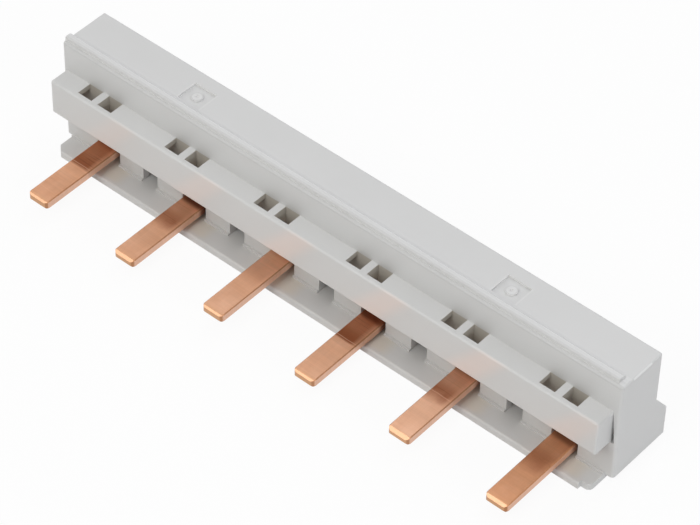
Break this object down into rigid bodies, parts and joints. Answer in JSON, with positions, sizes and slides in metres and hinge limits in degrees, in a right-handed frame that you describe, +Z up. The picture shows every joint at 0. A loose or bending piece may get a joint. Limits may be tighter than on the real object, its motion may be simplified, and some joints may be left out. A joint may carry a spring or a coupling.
{
  "type": "three-pole busbar",
  "caption": "Insulated comb busbar: grey moulded housing with a windowed ledge, over a base plate, and flat copper tongues in one row that feed motor starters side by side.",
  "frame": {"origin": "middle of the housing's length, in the plane of its front wall's outer face, on the underside of the base plate", "axes": "+X along the housing towards the end with the rounded tab on the lip, +Y from the tongues towards the rear foot, +Z up from the base plate to the roof"},
  "size_m": [0.0898, 0.0234, 0.0174],
  "materials": {
    "housing_plastic": "light grey injection moulding, satin",
    "base_plastic": "light grey injection moulding, satin",
    "copper": "bare rolled copper, brushed along the tongues and tarnished brown near their roots",
    "insulation": "thin pressed insulating strip, off-white"
  },
  "bodies": {
    "root": {"housing": "housing_plastic", "base_plate": "base_plastic", "phase_rail_front": "copper", "phase_rail_middle": "copper", "phase_rail_rear": "copper", "separator_front": "insulation", "separator_rear": "insulation"}
  },
  "joints": []
}
